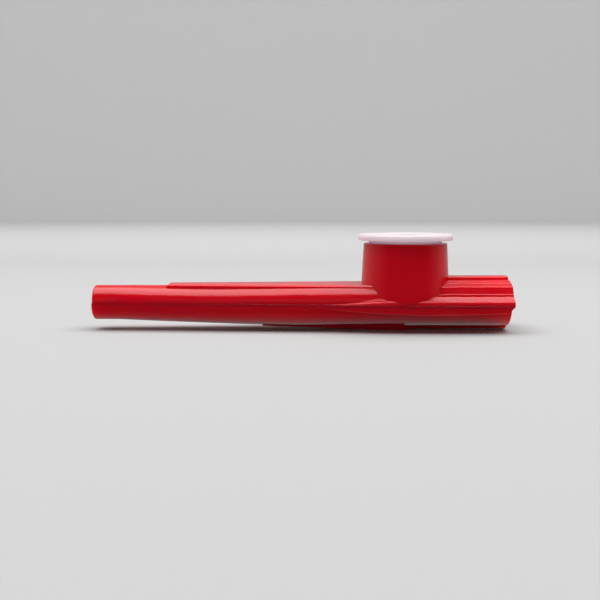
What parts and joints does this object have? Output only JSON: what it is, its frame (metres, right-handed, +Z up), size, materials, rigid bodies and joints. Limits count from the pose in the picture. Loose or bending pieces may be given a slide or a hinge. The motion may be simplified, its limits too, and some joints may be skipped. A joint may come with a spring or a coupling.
{
  "type": "kazoo",
  "caption": "Plastic kazoo: a flattened ribbed mouthpiece, a tapering tube with a round outlet, and an upright turret closed by a push-in ring that holds the humming membrane.",
  "frame": {"origin": "middle of the bounding box seen from above, at the height of the lowest edge of the keel it rests on", "axes": "+X along the tube from the outlet towards the mouthpiece, +Y across, +Z up along the turret, square to the parting plane of the two shells"},
  "size_m": [0.1202, 0.0272, 0.0278],
  "materials": {
    "red_plastic": "glossy injection-moulded plastic",
    "white_plastic": "slightly translucent, smooth",
    "film": "thin stretched film, milky"
  },
  "bodies": {
    "body": {"upper_shell": "red_plastic", "lower_shell": "red_plastic"},
    "cap": {"retaining_cap": "white_plastic", "membrane": "film"}
  },
  "joints": [
    {"name": "cap_pull", "type": "slide", "parent": "body", "child": "cap", "axis": [0, 0, 1], "range_m": [0, 0.015]}
  ]
}
